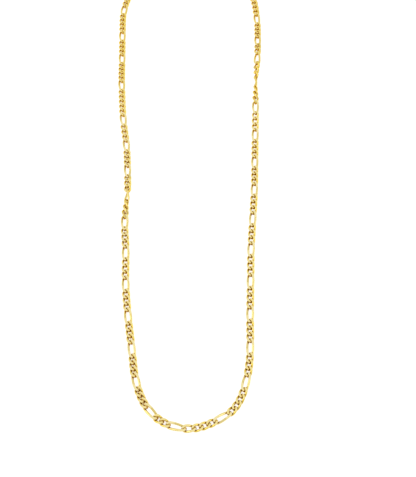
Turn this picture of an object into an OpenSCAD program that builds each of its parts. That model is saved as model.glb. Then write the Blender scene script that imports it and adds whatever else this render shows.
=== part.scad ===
// A figaro chain necklace, lying as a long loop on a flat surface, with its underside at z = 0.
// Three short links follow each long one, more or less, and every link is bent from round wire,
// twisted so that its neighbours nest in it, and filed flat on both faces.

/* [Links] */
// Width of the chain, across its links
chain_width = 2.9; // [2.8:0.05:3]
// Thickness of the round wire that the links are bent from
wire_d = 0.74; // [0.68:0.01:0.75]
// Thickness of the chain once both its faces are filed flat
filed_thickness = 1.2; // [1:0.05:1.4]
// Length that a short link adds to the chain when drawn out
short_pitch = 2.7; // [2.65:0.01:3]
// Length that a long link adds to the chain when drawn out
long_pitch = 5.75; // [5:0.05:7]
// Length that the one middling link adds to the chain when drawn out
middling_pitch = 3.5; // [3:0.05:4.5]
// Twist of a link from its middle to either end, in degrees
link_twist = 47; // [45:0.5:48]
// Play between the wires of two linked links, when drawn out
link_play = 0.3; // [0.28:0.01:0.32]

/* [Jump rings] */
// Thickness of a jump ring's wire
ring_wire_d = 0.8; // [0.7:0.05:0.85]
// Outer diameter of a jump ring
ring_outer_d = 4.6; // [4.4:0.1:5]

/* [Clasp] */
// Length of the clasp from eye to hook
clasp_length = 12; // [11.4:0.1:13]
// Width of the clasp across its hook
clasp_width = 6; // [5.8:0.1:6.6]
// Thickness of the clasp's body, its stoutest stretch
clasp_body_d = 2; // [1.8:0.1:2.1]
// Thickness of the clasp's hook
clasp_hook_d = 1.2; // [1:0.05:1.3]
// Outer diameter of the clasp's eye
eye_outer_d = 4.5; // [4.4:0.1:4.8]
// Thickness of the clasp's eye
eye_d = 0.9; // [0.8:0.05:1]

/* [Hidden] */

// Directions in which a link's half-round end has its corners, and the sides of its wire
BENDS = [-90, -45, 0, 45, 90];
WIRE_SIDES = 5;
// How much a filed face falls away towards the link's ends, as a share of its height
FACE_CROWN = 0.01;
// Steps between two points of the route
ROUTE_STEPS = 12;
// How steeply the chain rises from the surface to its jump rings
RISE = 0.12;
// How far a jump ring is rolled from the flat clasp, in degrees
RING_ROLL = 56;

// Kinds of piece along the chain
SHORT = "short link";
LONG = "long link";
MIDDLING = "middling link";
CLASP = "clasp";
RING = "jump ring";

// Where the chain lies: a closed smooth curve through these points, from the clasp down the left side,
// round the bottom and up the right side
ROUTE = [
    [-8, 149], [-24, 143.5], [-34, 131.5], [-38, 119], [-38, 104], [-37.5, 91], [-37, 76.5],
    [-35.5, 57.5], [-33.5, 44], [-32.5, 31.5], [-32, 19.5], [-32.5, 7], [-31.5, -6],
    [-31, -19.5], [-29.5, -33], [-27.5, -46.5], [-25.5, -59], [-21, -69], [-14, -74.5],
    [-7, -76], [0, -74.5], [8, -70], [12.5, -62.5], [15, -50], [15.5, -33], [16, -19.5],
    [16.5, -5.5], [17.5, 8.5], [18.5, 22], [19, 35], [19.5, 48.5], [20, 63], [20.5, 77],
    [21.5, 90.5], [22, 102], [22, 113.5], [20.5, 126.5], [16, 138], [6, 146.5]
];

// The links in order, from the clasp's ring round to the end ring: each row is a run of short links
// and the kind of link that closes it
RUNS = [
    [4, LONG], [3, LONG], [3, LONG], [4, LONG], [3, LONG], [4, LONG], [5, LONG], [3, LONG],
    [3, LONG], [3, LONG], [3, LONG], [3, LONG], [3, LONG], [3, LONG], [3, LONG], [3, LONG],
    [3, LONG], [2, LONG], [0, MIDDLING], [3, LONG], [4, LONG], [3, LONG], [3, LONG], [3, LONG],
    [3, LONG], [3, LONG], [3, LONG], [3, LONG], [3, LONG], [3, LONG], [3, LONG], [3, LONG],
    [2, LONG], [3, LONG], [4, LONG], [3, LONG], [4, SHORT]
];

// How far the chain has rolled about its own line, in degrees, at shares of its length
ROLLS = [
    [0, 0], [0.03, 0], [0.092, -12], [0.15, -17], [0.178, -20], [0.264, -20], [0.272, -16],
    [0.281, 15], [0.289, 60], [0.301, 115], [0.313, 166], [0.3207, 177], [0.326, 179], [0.331, 180],
    [0.776, 180], [0.782, 181], [0.795, 191], [0.804, 222], [0.814, 253], [0.822, 271],
    [0.831, 291], [0.841, 318], [0.849, 343], [0.862, 363], [0.9, 366], [0.98, 360], [1, 360]
];

// How far the links are pushed together at each joint, in millimetres, at shares of the chain's length
SLACKS = [
    [0, 0.05], [0.08, 0.25], [0.095, 0.2], [0.11, 0.1], [0.153, 0.22], [0.16, 0.34], [0.182, 0.34],
    [0.19, 0.12], [0.24, 0.08], [0.253, 0.36], [0.28, 0.38], [0.32, 0.38], [0.36, 0.03],
    [0.44, 0.24], [0.463, 0.36], [0.48, 0.36], [0.495, 0.06], [0.53, 0.06], [0.56, 0.12],
    [0.61, 0.12], [0.66, 0], [0.72, 0.04], [0.735, 0.14], [0.76, 0.1], [0.775, 0], [0.86, 0.08],
    [0.87, 0.12], [0.875, 0.38], [0.89, 0.38], [0.9, 0.05], [0.93, 0.05], [1, 0.05]
];

half_width = (chain_width - wire_d) / 2;

// How many short links a row of the runs begins with, and the kind of link that closes it
function shorts(run) = run[0];
function closing(run) = run[1];

// The kinds of the pieces along the chain, in order
kinds = [
    CLASP, RING,
    for (run = RUNS) each [for (k = [1 : 1 : shorts(run)]) SHORT, closing(run)],
    RING
];
count = len(kinds);

// Length of a piece's centreline
function span(kind) =
    kind == CLASP ? clasp_length - (eye_d + clasp_hook_d) / 2
    : kind == RING ? ring_outer_d - ring_wire_d
    : (kind == SHORT ? short_pitch : kind == LONG ? long_pitch : middling_pitch) + wire_d + link_play;

// Thickness of a piece's wire at its first end or its last
function end_d(kind, last) =
    kind == CLASP ? (last ? clasp_hook_d : eye_d)
    : kind == RING ? ring_wire_d
    : wire_d;

// Distance between the middles of two linked wires, at the joint after piece i
function overlap(i) =
    (end_d(kinds[i % count], true) + end_d(kinds[(i + 1) % count], false)) / 2 + link_play;

// Running totals of a list, from 0 to its sum
function totals(values) =
    [for (i = 0, t = 0; i <= len(values); t = t + (i < len(values) ? values[i] : 0), i = i + 1) t];

// Where each joint lies along the chain, drawn out and as it lies
drawn = [for (i = [0 : count - 1]) span(kinds[i]) - (overlap(i + count - 1) + overlap(i)) / 2];
drawn_at = totals(drawn);
drawn_length = drawn_at[count];
joint_at = totals([for (i = [0 : count - 1]) drawn[i] - lookup(drawn_at[i] / drawn_length, SLACKS)]);
chain_length = joint_at[count];

// The route, a Catmull-Rom curve through its points
function between(a, b, c, d, t) =
    (2 * b + (c - a) * t + (2 * a - 5 * b + 4 * c - d) * t ^ 2 + (3 * b - a - 3 * c + d) * t ^ 3) / 2;
corners = len(ROUTE);
route = [
    for (i = [0 : corners - 1], s = [0 : ROUTE_STEPS - 1])
        between(ROUTE[(i + corners - 1) % corners], ROUTE[i], ROUTE[(i + 1) % corners],
            ROUTE[(i + 2) % corners], s / ROUTE_STEPS)
];
steps = len(route);
route_at = totals([for (i = [0 : steps - 1]) norm(route[(i + 1) % steps] - route[i])]);
route_scale = chain_length / route_at[steps];
route_x = [for (i = [0 : steps]) [route_at[i] * route_scale, route[i % steps].x * route_scale]];
route_y = [for (i = [0 : steps]) [route_at[i] * route_scale, route[i % steps].y * route_scale]];

// The stations round a link's oval: the direction out of each, and which end it is bent about, where 0
// is the middle of a longer link's straight side
function stations(kind) = [
    for (g = BENDS) [g, 1],
    if (kind != SHORT) [90, 0],
    for (g = BENDS) [g + 180, -1],
    if (kind != SHORT) [270, 0]
];

// One corner of a link, w round its wire at a station, twisted and filed
function link_corner(half_length, station, w) =
    let (g = station[0],
         out = wire_d / 2 * cos(w),
         x = station[1] * (half_length - half_width) + half_width * cos(g),
         y = (half_width + out) * sin(g),
         z = wire_d / 2 * sin(w),
         twist = -link_twist * x / half_length,
         height = y * sin(twist) + z * cos(twist),
         limit = filed_thickness / 2 * (1 - FACE_CROWN * (x / half_length) ^ 2))
    [x + out * cos(g), y * cos(twist) - z * sin(twist), max(-limit, min(limit, height))];
function link_points(kind) =
    [for (station = stations(kind), j = [0 : WIRE_SIDES - 1])
        link_corner(span(kind) / 2, station, 360 * j / WIRE_SIDES)];
short_points = link_points(SHORT);
long_points = link_points(LONG);
middling_points = link_points(MIDDLING);
function points_of(kind) = kind == SHORT ? short_points : kind == LONG ? long_points : middling_points;

// The faces of a link with some number of stations, two triangles to each step round its oval and wire
function link_faces(around) = [
    for (k = [0 : around - 1], j = [0 : WIRE_SIDES - 1])
        let (k2 = (k + 1) % around, j2 = (j + 1) % WIRE_SIDES)
        each [
            [k * WIRE_SIDES + j, k2 * WIRE_SIDES + j2, k2 * WIRE_SIDES + j],
            [k * WIRE_SIDES + j, k * WIRE_SIDES + j2, k2 * WIRE_SIDES + j2]
        ]
];
short_faces = link_faces(len(stations(SHORT)));
longer_faces = link_faces(len(stations(LONG)));

// The roll of piece i, which is that of the chain where it lies, and half a link's height when rolled so
start_at = -joint_at[1] / 2;
function wrapped(at) = at < 0 ? at + chain_length : at >= chain_length ? at - chain_length : at;
function roll_of(i) =
    i == 0 ? 0
    : i == 1 ? -RING_ROLL
    : i == count - 1 ? RING_ROLL
    : lookup(wrapped((joint_at[i] + joint_at[i + 1]) / 2 + start_at) / chain_length, ROLLS);
rolls = [for (i = [0 : count - 1]) roll_of(i)];
ring_height = (ring_outer_d - ring_wire_d) / 2 * sin(RING_ROLL) + ring_wire_d / 2;
heights = [
    for (i = [0 : count - 1])
        i < 2 || i == count - 1 ? 0
        : max([for (p = points_of(kinds[i])) abs(p.y * sin(rolls[i]) + p.z * cos(rolls[i]))])
];

// Where each joint lies; the joint before piece i is the i-th, and the clasp's middle starts the route
function joint_height(i) =
    let (from_rings = min(abs(joint_at[i] - joint_at[2]), abs(joint_at[i] - joint_at[count - 1])),
         near = [for (k = [i - 3 : i + 2]) heights[(k + count) % count]])
    i < 3 || i > count - 2 ? ring_height : max(max(near), ring_height - RISE * from_rings);
joints = [
    for (i = [0 : count])
        let (at = wrapped(joint_at[i] + start_at))
        [lookup(at, route_x), lookup(at, route_y), joint_height(i)]
];

// The frame of piece i: its middle, then the directions along it, across it and through it
function place(i) =
    let (a = joints[i], b = joints[i + 1],
         along = (b - a) / norm(b - a),
         side = cross([0, 0, 1], along) / norm(cross([0, 0, 1], along)),
         up = cross(along, side),
         roll = rolls[i])
    [(a + b) / 2, along, side * cos(roll) + up * sin(roll), up * cos(roll) - side * sin(roll)];
places = [for (i = [0 : count - 1]) place(i)];
function link_at(i) =
    let (frame = places[i])
    [for (p = points_of(kinds[i])) frame[0] + p.x * frame[1] + p.y * frame[2] + p.z * frame[3]];

// The box round it all, whose underside's middle is the origin
eye_r = (eye_outer_d - eye_d) / 2;
claw_r = (clasp_width - (clasp_body_d + clasp_hook_d) / 2) / 2;
claw_start = -span(CLASP) / 2 + 2 * eye_r + claw_r;
claw_end = span(CLASP) / 2 - claw_r;
claw_top = [
    for (x = [claw_start, claw_end])
        places[0][0] + x * places[0][1] - claw_r * places[0][2] + [0, clasp_body_d / 2, 0]
];
spread = [
    for (i = [2 : count - 2]) each link_at(i),
    each claw_top,
    places[0][0] - [0, 0, ring_height]
];
lowest = [for (k = [0 : 2]) min([for (p = spread) p[k]])];
highest = [for (k = [0 : 2]) max([for (p = spread) p[k]])];
origin = [(lowest.x + highest.x) / 2, (lowest.y + highest.y) / 2, lowest.z];

module link(i) {
    polyhedron([for (p = link_at(i)) p - origin], kinds[i] == SHORT ? short_faces : longer_faces);
}

module placed(i) {
    frame = places[i];
    translate(frame[0] - origin)
        multmatrix([for (k = [0 : 2]) [frame[1][k], frame[2][k], frame[3][k], 0]])
            children();
}

module short_links() {
    color("gold")
        for (i = [0 : count - 1])
            if (kinds[i] == SHORT)
                link(i);
}

module long_links() {
    color("goldenrod")
        for (i = [0 : count - 1])
            if (kinds[i] == LONG || kinds[i] == MIDDLING)
                link(i);
}

module jump_ring() {
    rotate_extrude($fn = 48)
        translate([(ring_outer_d - ring_wire_d) / 2, 0])
            circle(d = ring_wire_d, $fn = 24);
}

module clasp_ring() {
    color("orange")
        placed(1)
            jump_ring();
}

module end_ring() {
    color("orange")
        placed(count - 1)
            jump_ring();
}

module clasp() {
    color("darkgoldenrod")
        placed(0) {
            translate([-span(CLASP) / 2 + eye_r, 0, 0])
                rotate_extrude($fn = 48)
                    translate([eye_r, 0])
                        circle(d = eye_d, $fn = 24);
            translate([claw_start, 0, 0])
                rotate([0, 0, 90])
                    rotate_extrude(angle = 180, $fn = 48)
                        translate([claw_r, 0])
                            circle(d = clasp_hook_d, $fn = 24);
            translate([claw_end, 0, 0])
                rotate([0, 0, -90])
                    rotate_extrude(angle = 180, $fn = 48)
                        translate([claw_r, 0])
                            circle(d = clasp_hook_d, $fn = 24);
            translate([claw_start, claw_r, 0])
                rotate([0, 90, 0])
                    cylinder(h = claw_end - claw_start, d = clasp_hook_d, $fn = 24);
            translate([claw_start, -claw_r, 0])
                rotate([0, 90, 0])
                    cylinder(h = claw_end - claw_start, d = clasp_body_d, $fn = 32);
            for (x = [claw_start, claw_end])
                translate([x, -claw_r, 0])
                    sphere(d = clasp_body_d, $fn = 32);
        }
}

short_links();
long_links();
clasp();
clasp_ring();
end_ring();
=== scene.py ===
"""Dresses the figaro chain: fine links, rings and clasp in polished gold on a white table."""

import logging
import math
import random
from dataclasses import dataclass, field
from enum import Enum

import bmesh
import bpy
from mathutils import Euler, Matrix, Vector, kdtree


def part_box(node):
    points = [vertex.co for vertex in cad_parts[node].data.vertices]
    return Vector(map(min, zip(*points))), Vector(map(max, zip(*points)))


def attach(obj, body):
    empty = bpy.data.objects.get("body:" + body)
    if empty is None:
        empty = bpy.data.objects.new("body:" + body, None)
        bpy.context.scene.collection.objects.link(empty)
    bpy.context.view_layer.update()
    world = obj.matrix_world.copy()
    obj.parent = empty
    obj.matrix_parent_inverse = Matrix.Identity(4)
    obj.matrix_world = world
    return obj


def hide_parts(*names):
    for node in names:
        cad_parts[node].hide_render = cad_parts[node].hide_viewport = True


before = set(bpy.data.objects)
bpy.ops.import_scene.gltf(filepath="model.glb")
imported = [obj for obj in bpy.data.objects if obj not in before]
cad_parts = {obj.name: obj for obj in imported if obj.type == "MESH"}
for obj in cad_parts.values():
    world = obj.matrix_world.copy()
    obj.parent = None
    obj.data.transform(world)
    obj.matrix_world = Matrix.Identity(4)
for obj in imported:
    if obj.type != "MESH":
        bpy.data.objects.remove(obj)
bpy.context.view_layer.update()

LOG = logging.getLogger("figaro_chain")
MM = 0.001
UP = Vector((0, 0, 1))
Triple = tuple[float, float, float]
Colour = Triple
Ramp = tuple[float, float]

# How many merging distances make a wire's thickness
MERGES_PER_WIRE = 500
# The tone of a ring or clasp, half way between the bright gold and the warm
MIDDLE_TONE = 0.5


class LinkKind(Enum):
    """The links of the chain, each with its length over all, in millimetres."""

    SHORT = 4.48
    MIDDLING = 5.28
    LONG = 7.53


# ---------------------------------------------------------------- geometry helpers


def settle(bm: bmesh.types.BMesh, name: str) -> bpy.types.Mesh:
    """Makes a mesh of a finished bmesh and frees it.

    Args:
        bm: The finished shape.
        name: The new mesh's name.

    Returns:
        The mesh.
    """
    mesh = bpy.data.meshes.new(name)
    bm.to_mesh(mesh)
    bm.free()
    return mesh


def show(mesh: bpy.types.Mesh, name: str) -> bpy.types.Object:
    """Puts a mesh in the scene as an object at the origin.

    Args:
        mesh: The shape, with its place in its vertices.
        name: The new object's name.

    Returns:
        The object.
    """
    piece = bpy.data.objects.new(name, mesh)
    bpy.context.scene.collection.objects.link(piece)
    return piece


def wire_section(bm: bmesh.types.BMesh, radius: float, sides: int, at: Vector) -> list:
    """Starts a wire with a circle that faces along X.

    Args:
        bm: The shape that the circle goes into.
        radius: The wire's radius.
        sides: The circle's sides.
        at: The circle's middle.

    Returns:
        The circle's edges.
    """
    place = Matrix.Translation(at) @ Matrix.Rotation(math.pi / 2, 4, "Y")
    circle = bmesh.ops.create_circle(
        bm, cap_ends=False, segments=sides, radius=radius, matrix=place
    )
    # A dictionary keeps the edges in the same order on every run, where a set wouldn't
    return list(dict.fromkeys(edge for vert in circle["verts"] for edge in vert.link_edges))


def extrude_ring(bm: bmesh.types.BMesh, ring: list, step: Vector, times: int) -> list:
    """Extrudes an open ring of edges along a straight line.

    Args:
        bm: The shape that the ring belongs to.
        ring: The ring's edges.
        step: How far each extrusion goes.
        times: How many extrusions there are.

    Returns:
        The edges of the last ring.
    """
    for _ in range(times):
        grown = bmesh.ops.extrude_edge_only(bm, edges=ring)["geom"]
        verts = [g for g in grown if isinstance(g, bmesh.types.BMVert)]
        bmesh.ops.translate(bm, verts=verts, vec=step)
        fresh = set(verts)
        ring = [
            g for g in grown
            if isinstance(g, bmesh.types.BMEdge) and g.verts[0] in fresh and g.verts[1] in fresh
        ]
    return ring


def spin_ring(
    bm: bmesh.types.BMesh, ring: list, centre: Vector, angle: float, steps: int,
    closed: bool = False,
) -> list:
    """Spins an open ring of edges about an upright axis.

    Args:
        bm: The shape that the ring belongs to.
        ring: The ring's edges.
        centre: A point on the axis.
        angle: The whole turn, in radians.
        steps: The steps in it.
        closed: Whether the turn is a full one, whose last ring merges with the first.

    Returns:
        The edges of the last ring.
    """
    last = bmesh.ops.spin(
        bm, geom=ring, cent=centre, axis=UP, angle=angle, steps=steps,
        use_merge=closed, use_duplicate=False,
    )["geom_last"]
    return [g for g in last if isinstance(g, bmesh.types.BMEdge)]


def smooth_step(low: float, high: float, value: float) -> float:
    """Goes smoothly from 0 at low to 1 at high."""
    t = min(1.0, max(0.0, (value - low) / (high - low)))
    return t * t * (3 - 2 * t)


def moments(points: list[Vector]) -> Matrix:
    """Adds up the second moments of points about the origin, in square millimetres.

    Args:
        points: The points.

    Returns:
        The matrix of moments.
    """
    spread = Matrix(((0,) * 3,) * 3)
    for point in points:
        for row in range(3):
            spread[row] += point * (point[row] / MM**2)
    return spread


def power_axis(spread: Matrix, squarings: int = 8) -> Vector:
    """Finds the direction in which a matrix of moments is greatest, by squaring it repeatedly.

    Args:
        spread: The matrix of moments.
        squarings: How many times it is squared.

    Returns:
        The unit direction.
    """
    sharp = spread.copy()
    for _ in range(squarings):
        sharp = sharp @ sharp
        size = max(abs(value) for row in sharp for value in row)
        sharp = sharp * (1 / size)
    return max(sharp.col, key=lambda column: column.length).normalized()


def widest_way(points: list[Vector]) -> Vector:
    """Finds the direction in which points about the origin lie widest apart.

    Args:
        points: The points.

    Returns:
        The unit direction.
    """
    return power_axis(moments(points))


@dataclass(frozen=True)
class Oval:
    """The middle line of a wire bent to an oval, whose straight sides run from near to far in X."""

    near: float
    far: float
    half_width: float

    def spoke(self, co: Vector) -> tuple[float, Vector]:
        """Finds the spoke of the oval that a point lies on.

        Args:
            co: The point.

        Returns:
            How far along X the spoke starts, and the level spoke from there to the point.
        """
        over = max(self.near, min(self.far, co.x))
        return over, Vector((co.x - over, co.y, 0))

    def bend(
        self, bm: bmesh.types.BMesh, wire: float, sides: int, straight_steps: int, bend_steps: int
    ) -> None:
        """Bends round wire along the oval and joins its ends.

        Args:
            bm: The shape that the wire goes into, which is empty until then.
            wire: The wire's thickness.
            sides: The sides of its section.
            straight_steps: The steps along each straight side.
            bend_steps: The steps round each half-round end.
        """
        step = Vector(((self.far - self.near) / straight_steps, 0, 0))
        ring = wire_section(bm, wire / 2, sides, Vector((self.near, -self.half_width, 0)))
        ring = extrude_ring(bm, ring, step, straight_steps)
        ring = spin_ring(bm, ring, Vector((self.far, 0, 0)), math.pi, bend_steps)
        ring = extrude_ring(bm, ring, -step, straight_steps)
        spin_ring(bm, ring, Vector((self.near, 0, 0)), math.pi, bend_steps)
        bmesh.ops.remove_doubles(bm, verts=bm.verts, dist=wire / MERGES_PER_WIRE)


# ---------------------------------------------------------------- links


@dataclass(frozen=True)
class Place:
    """Where one link lies: its frame, and which kind of link it is."""

    matrix: Matrix
    kind: LinkKind


@dataclass(frozen=True)
class NookShadeRamps:
    """Where painted shade is cleared from bends and where it lies on outer walls, each ramp from
    none to all of it.

    The bend ramps run from a bend's start, 0, to its crown, 1. The out ramps run outwards from the
    wire's middle, in shares of its thickness. The depth ramps run from a filed face, 0, down to the
    link's middle plane, 1.
    """

    shade_cleared_bend: Ramp = (0.15, 0.6)
    shade_cleared_out: Ramp = (0.25, -0.05)
    shade_cleared_share: float = 0.9
    wall_shade_bend: Ramp = (0.3, 0.7)
    wall_shade_out: Ramp = (0.05, 0.3)
    wall_shade_depth: Ramp = (0.1, 0.4)
    wall_shade_share: float = 0.8
    nook_depth: Ramp = (0.03, 0.22)


@dataclass
class CurbLink:
    """One curb link: round wire bent to an oval, twisted, and filed flat on both faces."""

    kind: LinkKind
    width: float = 3.0 * MM
    wire: float = 0.87 * MM
    thickness: float = 1.2 * MM
    twist: float = math.radians(47)
    sides: int = 14
    bend_steps: int = 14
    straight_step: float = 0.42 * MM
    least_straight_steps: int = 2
    edge_round: float = 0.05 * MM
    edge_segments: int = 2
    level_cosine: float = 0.999
    shade_ramps: NookShadeRamps = NookShadeRamps()

    @property
    def half_width(self) -> float:
        """From the link's middle line to the middle of its wire."""
        return (self.width - self.wire) / 2

    @property
    def half_length(self) -> float:
        """From the link's middle to the middle of the wire at its end."""
        return (self.kind.value * MM - self.wire) / 2

    @property
    def oval(self) -> Oval:
        """The middle line of the link's wire, before it is twisted."""
        straight = self.half_length - self.half_width
        return Oval(-straight, straight, self.half_width)

    def wire_coords(self, co: Vector) -> Vector:
        """Finds where a point of the flat oval lies on its wire.

        Args:
            co: The point, before the link is twisted.

        Returns:
            The way along the wire, the way out from the wire's middle, and the height.
        """
        over, spoke = self.oval.spoke(co)
        angle = math.atan2(spoke.x, spoke.y)
        along = over * math.copysign(1, co.y) + angle * self.half_width
        return Vector((along, spoke.length - self.half_width, co.z))

    def shade_masks(self, co: Vector) -> tuple[float, float]:
        """Finds where the painted shade between links is cleared from a bend, and where painted
        shade lies on its outer side.

        Args:
            co: The point of the flat oval, before the link is twisted.

        Returns:
            How far the painted shade is cleared at the point, and how much painted shade lies
            there, both from 0 to 1.
        """
        shade_ramps = self.shade_ramps
        spoke = self.oval.spoke(co)[1]
        endward = abs(spoke.x) / spoke.length
        out = (spoke.length - self.half_width) / self.wire
        shade_cleared = smooth_step(*shade_ramps.shade_cleared_bend, endward) * smooth_step(*shade_ramps.shade_cleared_out, out)
        wall_shade = smooth_step(*shade_ramps.wall_shade_bend, endward) * smooth_step(*shade_ramps.wall_shade_out, out)
        return shade_cleared, wall_shade

    def mesh(self) -> bpy.types.Mesh:
        """Bends, twists and files the link.

        Returns:
            The link's mesh about its own middle, long way along X, with its filed faces in slot 1.
        """
        bm = bmesh.new()
        along = bm.verts.layers.float_vector.new("wire_space")
        depth = bm.verts.layers.float.new("depth")
        wall_shade = bm.verts.layers.float.new("wall_shade")
        oval = self.oval
        steps = round((oval.far - oval.near) / self.straight_step)
        steps = max(self.least_straight_steps, steps)
        oval.bend(bm, self.wire, self.sides, steps, self.bend_steps)
        for v in bm.verts:
            v[along] = self.wire_coords(v.co)
            # The depth layer carries how far the painted shade is cleared at a point, until the
            # link is filed
            v[depth], v[wall_shade] = self.shade_masks(v.co)
            v.co = Matrix.Rotation(-self.twist * v.co.x / self.half_length, 3, "X") @ v.co
        self.file_flat(bm)
        shade_ramps = self.shade_ramps
        # Painted shade: the depth layer becomes the share of painted shade that the nooks may take.
        # It is more below the filed faces and less where the shade is cleared. The other layer
        # holds the painted shade on the lower outer walls
        for v in bm.verts:
            below = 1 - abs(v.co.z) / (self.thickness / 2)
            v[depth] = smooth_step(*shade_ramps.nook_depth, below) * (1 - shade_ramps.shade_cleared_share * v[depth])
            v[wall_shade] *= shade_ramps.wall_shade_share * smooth_step(*shade_ramps.wall_shade_depth, below)
        return settle(bm, f"{self.kind.name.lower()}_link")

    def file_flat(self, bm: bmesh.types.BMesh) -> None:
        """Files both faces flat and breaks their edges.

        Args:
            bm: The twisted link.
        """
        near_enough = self.wire / MERGES_PER_WIRE
        for side in (1, -1):
            cut = Vector((0, 0, side * self.thickness / 2))
            bmesh.ops.bisect_plane(
                bm, geom=list(bm.verts) + list(bm.edges) + list(bm.faces), dist=near_enough / 2,
                plane_co=cut, plane_no=Vector((0, 0, side)), clear_outer=True,
            )
        rims = [e for e in bm.edges if e.is_boundary]
        bmesh.ops.holes_fill(bm, edges=rims, sides=0)
        bmesh.ops.recalc_face_normals(bm, faces=bm.faces)
        bmesh.ops.bevel(
            bm, geom=rims, offset=self.edge_round, offset_type="OFFSET",
            segments=self.edge_segments, profile=0.5, affect="EDGES", clamp_overlap=True,
            material=-1,
        )
        for face in bm.faces:
            height = abs(face.calc_center_median().z)
            filed = abs(height - self.thickness / 2) < near_enough
            flat = filed and abs(face.normal.z) > self.level_cosine
            face.smooth = not flat
            face.material_index = 1 if flat else 0


@dataclass
class LinkRow:
    """All the links of one CAD node, each bent finely and laid where its solid lies."""

    node: str
    seed: int
    warmth: float
    tone_spread: float = 0.4
    corner_merge: float = 0.001 * MM
    places: list[Place] = field(default_factory=list)

    def survey(self) -> None:
        """Reads the place of each link from its own closed solid in the CAD node."""
        bm = bmesh.new()
        bm.from_mesh(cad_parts[self.node].data)
        bmesh.ops.remove_doubles(bm, verts=bm.verts, dist=self.corner_merge)
        unseen = dict.fromkeys(bm.verts)
        while unseen:
            island, front = [], [unseen.popitem()[0]]
            while front:
                vert = front.pop()
                island.append(vert.co.copy())
                for edge in vert.link_edges:
                    other = edge.other_vert(vert)
                    if other in unseen:
                        del unseen[other]
                        front.append(other)
            self.places.append(self.fit(island))
        bm.free()
        self.places.sort(key=lambda p: math.atan2(p.matrix.translation.y, p.matrix.translation.x))

    @staticmethod
    def fit(points: list[Vector]) -> Place:
        """Finds a link's frame: its long way, its width and its thickness.

        Args:
            points: The corners of the link's solid, which lie evenly about its middle.

        Returns:
            The link's place.
        """
        centre = sum(points, Vector()) / len(points)
        offsets = [point - centre for point in points]
        long_way = widest_way(offsets)
        across = widest_way([d - d.dot(long_way) * long_way for d in offsets])
        through = long_way.cross(across)
        length = 2 * max(abs(d.dot(long_way)) for d in offsets) / MM
        kind = min(LinkKind, key=lambda k: abs(k.value - length))
        turn = Matrix((long_way, across, through)).transposed().to_4x4()
        return Place(Matrix.Translation(centre) @ turn, kind)

    def build(self, shapes: dict[LinkKind, bpy.types.Mesh]) -> bpy.types.Object:
        """Lays a copy of the right link at every place.

        Args:
            shapes: A fine mesh for each kind of link.

        Returns:
            The piece, which replaces the node.
        """
        bm = bmesh.new()
        tone = bm.verts.layers.float.new("tone")
        dice = random.Random(self.seed)
        for place in self.places:
            before = len(bm.verts)
            bm.from_mesh(shapes[place.kind])
            bm.verts.ensure_lookup_table()
            fresh = bm.verts[before:]
            bmesh.ops.transform(bm, matrix=place.matrix, verts=fresh)
            shade = self.warmth + self.tone_spread * dice.random()
            for v in fresh:
                v[tone] = shade
        piece = show(settle(bm, self.node), f"{self.node}_fine")
        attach(piece, "root")
        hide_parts(self.node)
        return piece


def ring_numbers(mesh: bpy.types.Mesh) -> list[int]:
    """Numbers the closed shells of a mesh, such as the links of a row.

    Args:
        mesh: The mesh.

    Returns:
        The number of the shell that each point belongs to.
    """
    parent = list(range(len(mesh.vertices)))

    def root(index: int) -> int:
        """Finds the first point of a point's shell."""
        while parent[index] != index:
            parent[index] = parent[parent[index]]
            index = parent[index]
        return index

    for edge in mesh.edges:
        a, b = root(edge.vertices[0]), root(edge.vertices[1])
        parent[max(a, b)] = min(a, b)
    numbers: dict[int, int] = {}
    return [numbers.setdefault(root(index), len(numbers)) for index in range(len(parent))]


def mark_nooks(
    pieces: list[bpy.types.Object], near: float = 0.16 * MM, far: float = 0.65 * MM
) -> None:
    """Marks how close each point of the chain lies to a neighbouring link, as the mask of the
    painted shade between links.

    Args:
        pieces: The pieces of the chain, each made of separate closed shells.
        near: The distance at which a point counts as deep in a nook.
        far: The distance at which it counts as open.
    """
    points: list[Vector] = []
    owner: list[int] = []
    shells = 0
    for piece in pieces:
        label = ring_numbers(piece.data)
        points += [v.co for v in piece.data.vertices]
        owner += [shells + number for number in label]
        shells += max(label) + 1
    tree = kdtree.KDTree(len(points))
    for index, point in enumerate(points):
        tree.insert(point, index)
    tree.balance()
    done = 0
    for piece in pieces:
        nook = piece.data.attributes.new("nook", "FLOAT", "POINT")
        depth = piece.data.attributes.get("depth")
        wall_shade = piece.data.attributes.get("wall_shade")
        for index, vert in enumerate(piece.data.vertices):
            mine = owner[done + index]
            gap = far
            for _, other, distance in tree.find_range(vert.co, far):
                if distance < gap and owner[other] != mine:
                    gap = distance
            sunk = depth.data[index].value if depth else 1.0
            least = wall_shade.data[index].value if wall_shade else 0.0
            # Painted shade: the closer a neighbouring link lies, the darker the point, and never
            # less than the painted shade of the lower outer walls
            nook.data[index].value = max(least, sunk * (1 - smooth_step(near, far, gap)))
        done += len(piece.data.vertices)


# ---------------------------------------------------------------- rings and clasp


def lie_of(node: str, digits: int = 5) -> tuple[Vector, Matrix]:
    """Finds how a flat piece lies from its CAD solid.

    Args:
        node: The piece's node.
        digits: The digits, in millimetres, that have to be alike in corners that count as one.

    Returns:
        Its middle, and the turn that takes the XY plane into its own, with X kept as nearly as its
        plane allows.
    """
    points = [v.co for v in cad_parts[node].data.vertices]
    unique = list({tuple(round(c / MM, digits) for c in p): p.copy() for p in points}.values())
    low = Vector([min(p[k] for p in unique) for k in range(3)])
    high = Vector([max(p[k] for p in unique) for k in range(3)])
    centre = (low + high) / 2
    upright = power_axis(moments([p - centre for p in unique]).inverted())
    if upright.z < 0:
        upright = -upright
    along = Vector((1, 0, 0))
    along = (along - along.dot(upright) * upright).normalized()
    return centre, Matrix((along, upright.cross(along), upright)).transposed()


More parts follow.
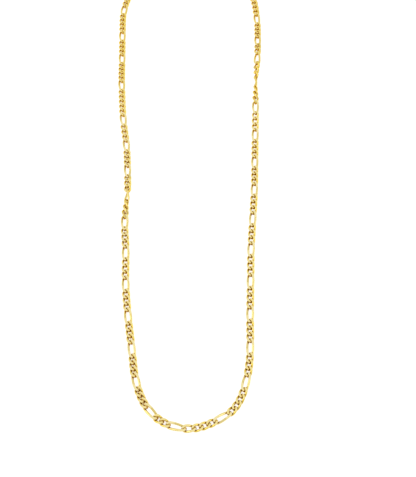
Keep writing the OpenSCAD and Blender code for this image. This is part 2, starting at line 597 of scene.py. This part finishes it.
@dataclass
class JumpRing:
    """A ring of round wire, sawn once so that it can be opened."""

    node: str
    outer: float = 4.6 * MM
    wire: float = 0.8 * MM
    sides: int = 20
    steps: int = 72
    saw_cut: float = math.radians(1.2)

    def build(self) -> bpy.types.Object:
        """Bends the ring and lays it where its solid lies.

        Returns:
            The piece, which replaces the node.
        """
        centre, turn = lie_of(self.node)
        bm = bmesh.new()
        along = bm.verts.layers.float_vector.new("wire_space")
        tone = bm.verts.layers.float.new("tone")
        radius = (self.outer - self.wire) / 2
        ring = wire_section(bm, self.wire / 2, self.sides, Vector((0, -radius, 0)))
        first = list(ring)
        last = spin_ring(bm, ring, Vector(), 2 * math.pi - self.saw_cut, self.steps)
        for rim in (first, last):
            bmesh.ops.contextual_create(bm, geom=rim)
        bmesh.ops.recalc_face_normals(bm, faces=bm.faces)
        for v in bm.verts:
            out = Vector((v.co.x, v.co.y, 0)).length - radius
            v[along] = Vector((math.atan2(v.co.x, -v.co.y) * radius, out, v.co.z))
            v[tone] = MIDDLE_TONE
        for face in bm.faces:
            # Only the sawn ends have more than four corners
            face.smooth = len(face.verts) == 4
        bmesh.ops.transform(bm, matrix=Matrix.Translation(centre) @ turn.to_4x4(), verts=bm.verts)
        piece = show(settle(bm, self.node), f"{self.node}_fine")
        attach(piece, "root")
        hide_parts(self.node)
        return piece


@dataclass
class ClawClasp:
    """A plain claw clasp: an eye and a closed claw whose back is its stoutest stretch.

    The swell is where round its bends the claw starts to swell and is stoutest, as the share of the
    claw's width that a spoke goes across, and less than 0 towards the back.
    """

    node: str = "clasp"
    length: float = 12 * MM
    width: float = 6 * MM
    back: float = 2.0 * MM
    hook: float = 1.2 * MM
    eye_outer: float = 4.5 * MM
    eye_wire: float = 0.9 * MM
    swell: Ramp = (-0.35, -0.98)
    sides: int = 24
    bend_steps: int = 20
    back_steps: int = 16
    eye_steps: int = 56

    @property
    def span(self) -> float:
        """From the middle of the eye's wire to the middle of the hook's, at the clasp's ends."""
        return self.length - (self.eye_wire + self.hook) / 2

    @property
    def eye_radius(self) -> float:
        """The radius of the eye's middle line."""
        return (self.eye_outer - self.eye_wire) / 2

    @property
    def oval(self) -> Oval:
        """The middle line of the claw's wire."""
        radius = (self.width - (self.back + self.hook) / 2) / 2
        near = -self.span / 2 + 2 * self.eye_radius + radius
        return Oval(near, self.span / 2 - radius, radius)

    def build(self) -> bpy.types.Object:
        """Shapes the clasp and lays it where its solid lies.

        Returns:
            The piece, which replaces the node.
        """
        piece = show(settle(self.shape(), self.node), f"{self.node}_fine")
        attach(piece, "root")
        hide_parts(self.node)
        return piece

    def shape(self) -> bmesh.types.BMesh:
        """Shapes the claw and the eye.

        Returns:
            The clasp in its place.
        """
        bm = bmesh.new()
        self.bend_claw(bm)
        self.add_eye(bm)
        bmesh.ops.recalc_face_normals(bm, faces=bm.faces)
        along = bm.verts.layers.float_vector.new("wire_space")
        tone = bm.verts.layers.float.new("tone")
        for v in bm.verts:
            v[along] = v.co
            v[tone] = MIDDLE_TONE
        for face in bm.faces:
            face.smooth = True
        bmesh.ops.transform(bm, matrix=self.lie(), verts=bm.verts)
        return bm

    def bend_claw(self, bm: bmesh.types.BMesh) -> None:
        """Bends the claw to its oval and lets it swell towards its back.

        Args:
            bm: The shape that the claw goes into, which is empty until then.
        """
        oval = self.oval
        oval.bend(bm, self.hook, self.sides, self.back_steps, self.bend_steps)
        for v in bm.verts:
            over, spoke = oval.spoke(v.co)
            core = Vector((over, 0, 0)) + spoke.normalized() * oval.half_width
            stout = smooth_step(*self.swell, spoke.normalized().y)
            v.co = core + (v.co - core) * (1 + stout * (self.back / self.hook - 1))

    def add_eye(self, bm: bmesh.types.BMesh) -> None:
        """Bends the eye and sets it at the claw's near end.

        Args:
            bm: The shape, which holds the claw.
        """
        claw = set(bm.verts)
        start = Vector((0, -self.eye_radius, 0))
        ring = wire_section(bm, self.eye_wire / 2, self.sides, start)
        spin_ring(bm, ring, Vector(), 2 * math.pi, self.eye_steps, closed=True)
        eye = [v for v in bm.verts if v not in claw]
        bmesh.ops.remove_doubles(bm, verts=eye, dist=self.hook / MERGES_PER_WIRE)
        eye = [v for v in bm.verts if v not in claw]
        middle = Vector((-self.span / 2 + self.eye_radius, 0, 0))
        bmesh.ops.translate(bm, verts=eye, vec=middle)

    def lie(self) -> Matrix:
        """Finds the clasp's place: its eye lies towards its jump ring.

        Returns:
            The matrix that takes the clasp from its own frame to its place.
        """
        box = [Vector(corner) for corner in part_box(self.node)]
        eye_ring = [Vector(corner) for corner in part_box("clasp_ring")]
        hook_ring = [Vector(corner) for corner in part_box("end_ring")]
        centre = (box[0] + box[1]) / 2
        along = (hook_ring[0] + hook_ring[1] - eye_ring[0] - eye_ring[1]).normalized()
        along.z = 0
        along.normalize()
        across = UP.cross(along)
        middle = centre - across * (self.hook - self.back) / 4
        turn = Matrix((along, across, UP)).transposed().to_4x4()
        return Matrix.Translation(middle) @ turn


# ---------------------------------------------------------------- shader nodes


def feed(tree: bpy.types.NodeTree, value: object, socket: bpy.types.NodeSocket) -> None:
    """Feeds an input.

    Args:
        tree: The node tree that the input is in.
        value: The socket that feeds it, or the value that it is set to.
        socket: The input.
    """
    if isinstance(value, bpy.types.NodeSocket):
        tree.links.new(value, socket)
    else:
        socket.default_value = value


def group_of(
    name: str, inputs: dict[str, str], outputs: dict[str, str]
) -> tuple[bpy.types.NodeTree, object, object]:
    """Starts a shader node group with named sockets.

    Args:
        name: The group's name.
        inputs: Each input's name and socket type.
        outputs: Each output's name and socket type.

    Returns:
        The group, then its inputs and its outputs as they are seen from inside it.
    """
    tree = bpy.data.node_groups.new(name, "ShaderNodeTree")
    for in_out, sockets in (("INPUT", inputs), ("OUTPUT", outputs)):
        for label, kind in sockets.items():
            tree.interface.new_socket(name=label, in_out=in_out, socket_type=kind)
    source = tree.nodes.new("NodeGroupInput")
    out = tree.nodes.new("NodeGroupOutput")
    return tree, source.outputs, out.inputs


def shared_node(
    tree: bpy.types.NodeTree, group: bpy.types.NodeTree, inputs: dict[str, object]
) -> object:
    """Places a shared group in a material.

    Args:
        tree: The material's tree.
        group: The shared group.
        inputs: What feeds each of its inputs, or the value that it is set to.

    Returns:
        The group's outputs.
    """
    node = tree.nodes.new("ShaderNodeGroup")
    node.node_tree = group
    for label, value in inputs.items():
        feed(tree, value, node.inputs[label])
    return node.outputs


def attribute_node(tree: bpy.types.NodeTree, name: str) -> object:
    """Reads one of the attributes that a mesh's points carry.

    Args:
        tree: The node tree that it goes into.
        name: The attribute's name.

    Returns:
        The node's outputs.
    """
    node = tree.nodes.new("ShaderNodeAttribute")
    node.attribute_name = name
    return node.outputs


def math_node(
    tree: bpy.types.NodeTree, operation: str, a: object, b: object
) -> bpy.types.NodeSocket:
    """Adds a Math node.

    Args:
        tree: The node tree that it goes into.
        operation: What it does.
        a: Its first value, or the socket that feeds it.
        b: Its second.

    Returns:
        Its output.
    """
    node = tree.nodes.new("ShaderNodeMath")
    node.operation = operation
    for slot, value in enumerate((a, b)):
        feed(tree, value, node.inputs[slot])
    return node.outputs[0]


def ramp_node(
    tree: bpy.types.NodeTree, value: bpy.types.NodeSocket, low: float, high: float
) -> bpy.types.NodeSocket:
    """Adds a smooth ramp.

    Args:
        tree: The node tree that it goes into.
        value: The socket that feeds it.
        low: The value at which it is 0.
        high: The value at which it is 1.

    Returns:
        Its output.
    """
    node = tree.nodes.new("ShaderNodeMapRange")
    node.interpolation_type = "SMOOTHSTEP"
    node.inputs["From Min"].default_value = low
    node.inputs["From Max"].default_value = high
    tree.links.new(value, node.inputs["Value"])
    return node.outputs["Result"]


def mix_node(
    tree: bpy.types.NodeTree, factor: bpy.types.NodeSocket, a: object, b: object
) -> bpy.types.NodeSocket:
    """Mixes two colours.

    Args:
        tree: The node tree that it goes into.
        factor: The socket that chooses between them.
        a: The colour, or its socket, at 0.
        b: The colour, or its socket, at 1.

    Returns:
        The mixed colour's socket.
    """
    node = tree.nodes.new("ShaderNodeMix")
    node.data_type = "RGBA"
    tree.links.new(factor, node.inputs["Factor"])
    # Every kind of value has its own sockets here, under the same names: these are the colours'
    for slot, value in ((6, a), (7, b)):
        colour = value if isinstance(value, bpy.types.NodeSocket) else (*value, 1.0)
        feed(tree, colour, node.inputs[slot])
    return node.outputs[2]


def noise_node(
    tree: bpy.types.NodeTree, vector: bpy.types.NodeSocket, scale: object, detail: float,
    roughness: float = 0.5,
) -> bpy.types.NodeSocket:
    """Adds a noise.

    Args:
        tree: The node tree that it goes into.
        vector: The socket that says where it is read.
        scale: How fine it is, or the socket that says so.
        detail: How many finer layers it has.
        roughness: How strong the finer layers are.

    Returns:
        Its output.
    """
    node = tree.nodes.new("ShaderNodeTexNoise")
    node.inputs["Detail"].default_value = detail
    node.inputs["Roughness"].default_value = roughness
    feed(tree, scale, node.inputs["Scale"])
    tree.links.new(vector, node.inputs["Vector"])
    return node.outputs["Fac"]


def bump_node(
    tree: bpy.types.NodeTree, height: bpy.types.NodeSocket, strength: float, distance: float
) -> bpy.types.Node:
    """Adds a bump.

    Args:
        tree: The node tree that it goes into.
        height: The socket that gives its height.
        strength: How strong it is.
        distance: How high it goes, in metres.

    Returns:
        The node.
    """
    node = tree.nodes.new("ShaderNodeBump")
    node.inputs["Strength"].default_value = strength
    node.inputs["Distance"].default_value = distance
    tree.links.new(height, node.inputs["Height"])
    return node


# ---------------------------------------------------------------- finishes


def hairline_group(
    detail: float = 3.0, roughness: float = 0.6, scratched: Ramp = (0.52, 0.68)
) -> bpy.types.NodeTree:
    """Builds the fine scratches that handling leaves on polished metal.

    Args:
        detail: How many finer layers the scratches have.
        roughness: How strong the finer layers are.
        scratched: The heights from which the mask is 0 and up to which it reaches 1.

    Returns:
        A group that takes a vector, a scale and a stretch, and puts out a height and a mask of the
        scratches.
    """
    tree, given, out = group_of(
        "hairlines",
        {"Vector": "NodeSocketVector", "Scale": "NodeSocketFloat", "Stretch": "NodeSocketVector"},
        {"Height": "NodeSocketFloat", "Mask": "NodeSocketFloat"},
    )
    squeeze = tree.nodes.new("ShaderNodeVectorMath")
    squeeze.operation = "MULTIPLY"
    tree.links.new(given["Vector"], squeeze.inputs[0])
    tree.links.new(given["Stretch"], squeeze.inputs[1])
    height = noise_node(tree, squeeze.outputs[0], given["Scale"], detail, roughness)
    tree.links.new(height, out["Height"])
    tree.links.new(ramp_node(tree, height, *scratched), out["Mask"])
    return tree


def swell_group(detail: float = 1.5) -> bpy.types.NodeTree:
    """Builds the slow swells and small dips left by bending and tumbling.

    Args:
        detail: How many finer layers the swells have.

    Returns:
        A group that takes a vector and a scale, and puts out a height.
    """
    tree, given, out = group_of(
        "swells",
        {"Vector": "NodeSocketVector", "Scale": "NodeSocketFloat"},
        {"Height": "NodeSocketFloat"},
    )
    tree.links.new(noise_node(tree, given["Vector"], given["Scale"], detail), out["Height"])
    return tree


@dataclass(frozen=True)
class NookShadePaint:
    """The painted brown shade where links nest in each other, standing in for the shadow in their
    joints.

    A noise breaks it up. The painted shade is weaker in the upper stretches, along Y, and on the
    left side, along X, than in the rest by the shares given.
    """

    noise_scale: float = 1800.0
    noise_detail: float = 3.0
    noise_base: float = 0.5
    nook_power: float = 1.3
    upper: Ramp = (20 * MM, 48 * MM)
    shade_fade_up: Ramp = (-25 * MM, 30 * MM)
    shade_fade_up_share: float = 0.4
    shade_fade_left: Ramp = (10 * MM, -12 * MM)
    shade_fade_left_share: float = 0.15
    darkest: Ramp = (0.8, 1.8)

    def group(self) -> bpy.types.NodeTree:
        """Builds the masks of the painted shade.

        Returns:
            A group that takes the nook mask, a vector and an amount, and puts out a mask of the
            light painted shade, one of its darkest spots, and one of the upper stretches, whose
            gold is painted richer and darker.
        """
        tree, given, out = group_of(
            "nook_shade",
            {"Nook": "NodeSocketFloat", "Vector": "NodeSocketVector", "Amount": "NodeSocketFloat"},
            {"Mask": "NodeSocketFloat", "Darkest": "NodeSocketFloat", "Upper": "NodeSocketFloat"},
        )
        noise = noise_node(tree, given["Vector"], self.noise_scale, self.noise_detail)
        breakup = math_node(tree, "ADD", noise, self.noise_base)
        deep = math_node(tree, "POWER", given["Nook"], self.nook_power)
        painted_shade = math_node(tree, "MULTIPLY", deep, breakup)
        spot = tree.nodes.new("ShaderNodeSeparateXYZ")
        tree.links.new(given["Vector"], spot.inputs["Vector"])
        for axis, ramp, share in (
            ("Y", self.shade_fade_up, self.shade_fade_up_share),
            ("X", self.shade_fade_left, self.shade_fade_left_share),
        ):
            shade_faded = math_node(tree, "MULTIPLY", ramp_node(tree, spot.outputs[axis], *ramp), share)
            painted_shade = math_node(tree, "MULTIPLY", painted_shade, math_node(tree, "SUBTRACT", 1.0, shade_faded))
        amount = math_node(tree, "MULTIPLY", painted_shade, given["Amount"])
        tree.links.new(math_node(tree, "MINIMUM", amount, 1.0), out["Mask"])
        tree.links.new(ramp_node(tree, amount, *self.darkest), out["Darkest"])
        tree.links.new(ramp_node(tree, spot.outputs["Y"], *self.upper), out["Upper"])
        return tree


@dataclass(frozen=True)
class GoldFinish:
    """Polished yellow gold, with hairlines, slow swells, painted shade in its nooks and painted
    richer gold in its upper stretches.
    """

    name: str
    bright: Colour = (0.93, 0.81, 0.42)
    warm: Colour = (0.92, 0.77, 0.31)
    # Painted shade: a richer, darker gold for the upper stretches, for the darker surroundings that
    # their rolled links reflect
    upper_shade_gold: Colour = (0.87, 0.64, 0.10)
    upper_shade_share: float = 0.5
    scratch: Colour = (0.80, 0.62, 0.22)
    scratch_share: float = 0.4
    # Painted shade between nested links, a light one and a darkest one, standing in for the shadow
    # in their joints
    painted_shade: Colour = (0.53, 0.24, 0.002)
    darkest_painted_shade: Colour = (0.25, 0.11, 0.003)
    painted_shade_amount: float = 2.0
    edge: Colour = (0.92, 0.76, 0.36)
    roughness: float = 0.16
    painted_shade_roughness: float = 0.3
    scratch_roughness: float = 0.10
    hairline_scale: float = 7000.0
    hairline_stretch: Triple = (0.06, 1.0, 1.0)
    hairline_depth: float = 0.25
    hairline_height: float = 0.02 * MM
    swell_scale: float = 900.0
    swell_depth: float = 0.08
    swell_height: float = 0.1 * MM

    def material(self, groups: dict[str, bpy.types.NodeTree]) -> bpy.types.Material:
        """Builds the material.

        Args:
            groups: The shared node groups by name.

        Returns:
            The material.
        """
        made = bpy.data.materials.new(self.name)
        made.use_nodes = True
        tree = made.node_tree
        shader = tree.nodes["Principled BSDF"].inputs
        shader["Metallic"].default_value = 1.0
        shader["Specular Tint"].default_value = (*self.edge, 1.0)
        spot = tree.nodes.new("ShaderNodeTexCoord").outputs["Object"]
        lines = shared_node(tree, groups["hairlines"], {
            "Vector": attribute_node(tree, "wire_space")["Vector"],
            "Scale": self.hairline_scale,
            "Stretch": self.hairline_stretch,
        })
        swells = shared_node(tree, groups["swells"], {"Vector": spot, "Scale": self.swell_scale})
        nook_shade = shared_node(tree, groups["nook_shade"], {
            "Nook": attribute_node(tree, "nook")["Fac"],
            "Vector": spot,
            "Amount": self.painted_shade_amount,
        })
        tree.links.new(self.colour(tree, lines, nook_shade), shader["Base Color"])
        dull = math_node(tree, "MULTIPLY", nook_shade["Mask"], self.painted_shade_roughness)
        scuffed = math_node(tree, "MULTIPLY", lines["Mask"], self.scratch_roughness)
        rough = math_node(tree, "ADD", math_node(tree, "ADD", dull, scuffed), self.roughness)
        tree.links.new(rough, shader["Roughness"])
        swollen = bump_node(tree, swells["Height"], self.swell_depth, self.swell_height)
        lined = bump_node(tree, lines["Height"], self.hairline_depth, self.hairline_height)
        tree.links.new(swollen.outputs["Normal"], lined.inputs["Normal"])
        tree.links.new(lined.outputs["Normal"], shader["Normal"])
        return made

    def colour(
        self, tree: bpy.types.NodeTree, lines: object, nook_shade: object
    ) -> bpy.types.NodeSocket:
        """Mixes the gold's tones, the painted shade of its upper stretches, its scratches and the
        painted shade in its nooks.

        Args:
            tree: The material's tree.
            lines: The outputs of the hairlines.
            nook_shade: The outputs of the painted shade in the nooks.

        Returns:
            The colour's socket.
        """
        metal = mix_node(tree, attribute_node(tree, "tone")["Fac"], self.bright, self.warm)
        # Painted shade of the upper stretches
        upper_shaded = math_node(tree, "MULTIPLY", nook_shade["Upper"], self.upper_shade_share)
        metal = mix_node(tree, upper_shaded, metal, self.upper_shade_gold)
        handled = math_node(tree, "MULTIPLY", lines["Mask"], self.scratch_share)
        metal = mix_node(tree, handled, metal, self.scratch)
        # Painted shade in the nooks between links
        shaded_metal = mix_node(tree, nook_shade["Mask"], metal, self.painted_shade)
        return mix_node(tree, nook_shade["Darkest"], shaded_metal, self.darkest_painted_shade)


# The round sides of the wire are painted a darker, more orange gold than the filed faces: painted
# shade that tones down their reflection of the bright table
SIDE_GOLD_SHADED = GoldFinish("side_gold_shaded", bright=(0.86, 0.72, 0.32), warm=(0.85, 0.66, 0.13))
FILED_GOLD = GoldFinish(
    "filed_gold", roughness=0.13, hairline_scale=8000.0, hairline_stretch=(1.0, 0.05, 1.0),
    hairline_depth=0.2, painted_shade_amount=1.5,
)
CLASP_GOLD = GoldFinish("clasp_gold", painted_shade_amount=0.8)


# ---------------------------------------------------------------- studio


@dataclass(frozen=True)
class Softbox:
    """A soft light: its place and its level and other side, in metres, and its power in watts."""

    name: str
    at: Triple
    width: float
    height: float
    power: float

    def hang(self, seen: Vector) -> None:
        """Hangs the light so that it looks at the chain.

        Args:
            seen: The point that it looks at.
        """
        lamp = bpy.data.lights.new(self.name, "AREA")
        lamp.shape = "RECTANGLE"
        lamp.size = self.width
        lamp.size_y = self.height
        lamp.energy = self.power
        light = bpy.data.objects.new(self.name, lamp)
        light.location = self.at
        light.rotation_euler = (seen - Vector(self.at)).to_track_quat("-Z", "Y").to_euler()
        bpy.context.scene.collection.objects.link(light)


@dataclass(frozen=True)
class WhiteTable:
    """The white surface just under the chain.

    It glows evenly, so that it shows no shadow. Only between close walls of gold, where all light
    has bounced off them, its glow turns golden. The sky is how much of the open air round it a
    point of the table sees.
    """

    half_width: float = 3.0
    cells: int = 4
    drop: float = 0.03 * MM
    roughness: float = 0.7
    shine: float = 0.2
    glow: float = 0.9
    white: Colour = (1.0, 1.0, 1.0)
    pale: Colour = (0.25, 0.25, 0.25)
    gold_bounce: Colour = (0.80, 0.55, 0.14)
    gold_shade: Colour = (0.05, 0.04, 0.01)
    sky_samples: int = 16
    sky_reach: float = 3 * MM
    open_sky: Ramp = (0.08, 0.3)

    def lay(self) -> None:
        """Lays the table."""
        bm = bmesh.new()
        bmesh.ops.create_grid(
            bm, x_segments=self.cells, y_segments=self.cells, size=self.half_width
        )
        bmesh.ops.translate(bm, verts=bm.verts, vec=Vector((0, 0, -self.drop)))
        table = show(settle(bm, "table"), "table")
        table.data.materials.append(self.material())

    def material(self) -> bpy.types.Material:
        """Builds the table's material.

        Returns:
            The material.
        """
        made = bpy.data.materials.new("white_table")
        made.use_nodes = True
        tree = made.node_tree
        shader = tree.nodes["Principled BSDF"].inputs
        shader["Roughness"].default_value = self.roughness
        shader["Specular IOR Level"].default_value = self.shine
        shader["Emission Strength"].default_value = self.glow
        sky = tree.nodes.new("ShaderNodeAmbientOcclusion")
        sky.samples = self.sky_samples
        sky.inputs["Distance"].default_value = self.sky_reach
        seen = ramp_node(tree, sky.outputs["AO"], *self.open_sky)
        base = mix_node(tree, seen, self.gold_shade, self.pale)
        tree.links.new(base, shader["Base Color"])
        lit = mix_node(tree, seen, self.gold_bounce, self.white)
        tree.links.new(lit, shader["Emission Color"])
        return made


@dataclass
class Studio:
    """The white table, the soft lights round it and the camera over the chain's near side."""

    seen: Vector = field(default_factory=lambda: Vector((8.132, -37.29, 0.0)) * MM)
    distance: float = 348.6 * MM
    tilt: float = math.radians(30)
    lens: float = 67.77
    clip: Ramp = (0.01, 20)
    table: WhiteTable = WhiteTable()
    softboxes: tuple[Softbox, ...] = (
        Softbox("softbox_left", (-0.85, -0.15, 0.6), 0.7, 0.7, 2.4),
        Softbox("softbox_right", (0.85, -0.25, 0.55), 0.7, 0.7, 1.65),
        Softbox("softbox_over", (0.0, 0.6, 1.04), 2.4, 1.0, 1.5),
    )
    world_white: Colour = (1.0, 1.0, 1.0)
    world_light: float = 0.78

    def light(self) -> None:
        """Lights the table softly and evenly from above."""
        for softbox in self.softboxes:
            softbox.hang(self.seen)
        world = bpy.data.worlds.new("studio")
        world.use_nodes = True
        back = world.node_tree.nodes["Background"]
        back.inputs["Color"].default_value = (*self.world_white, 1.0)
        back.inputs["Strength"].default_value = self.world_light
        bpy.context.scene.world = world

    def stand_camera(self) -> None:
        """Stands the camera over the near side of the chain, tilted towards it."""
        camera = bpy.data.cameras.new("camera")
        camera.lens = self.lens
        camera.clip_start, camera.clip_end = self.clip
        eye = bpy.data.objects.new("camera", camera)
        back = Vector((0, -math.sin(self.tilt), math.cos(self.tilt))) * self.distance
        eye.location = self.seen + back
        eye.rotation_euler = Euler((self.tilt, 0, 0))
        bpy.context.scene.collection.objects.link(eye)
        bpy.context.scene.camera = eye

    def set_up(self) -> None:
        """Sets up the whole studio."""
        self.table.lay()
        self.light()
        self.stand_camera()
        bpy.context.scene.view_settings.view_transform = "Standard"


def main() -> None:
    """Builds the chain's pieces in order and reports each."""
    logging.basicConfig(level=logging.INFO, format="%(name)s: %(message)s")
    Studio().set_up()
    groups = {"hairlines": hairline_group(), "swells": swell_group(), "nook_shade": NookShadePaint().group()}
    wire_gold = SIDE_GOLD_SHADED.material(groups)
    filed_gold = FILED_GOLD.material(groups)
    clasp_gold = CLASP_GOLD.material(groups)

    shapes = {kind: CurbLink(kind).mesh() for kind in LinkKind}
    chain = []
    for row in (
        LinkRow("short_links", seed=3, warmth=0.6),
        LinkRow("long_links", seed=5, warmth=0.0),
    ):
        row.survey()
        piece = row.build(shapes)
        chain.append(piece)
        LOG.info("%s: %d links, %d faces", row.node, len(row.places), len(piece.data.polygons))
    fittings = [JumpRing("clasp_ring").build(), JumpRing("end_ring").build(), ClawClasp().build()]
    for piece in fittings:
        LOG.info("%s: %d faces", piece.name, len(piece.data.polygons))
    mark_nooks(chain + fittings)
    for piece in chain:
        piece.data.materials.append(wire_gold)
        piece.data.materials.append(filed_gold)
    for piece in fittings:
        piece.data.materials.append(clasp_gold)


if __name__ == "__main__":
    main()
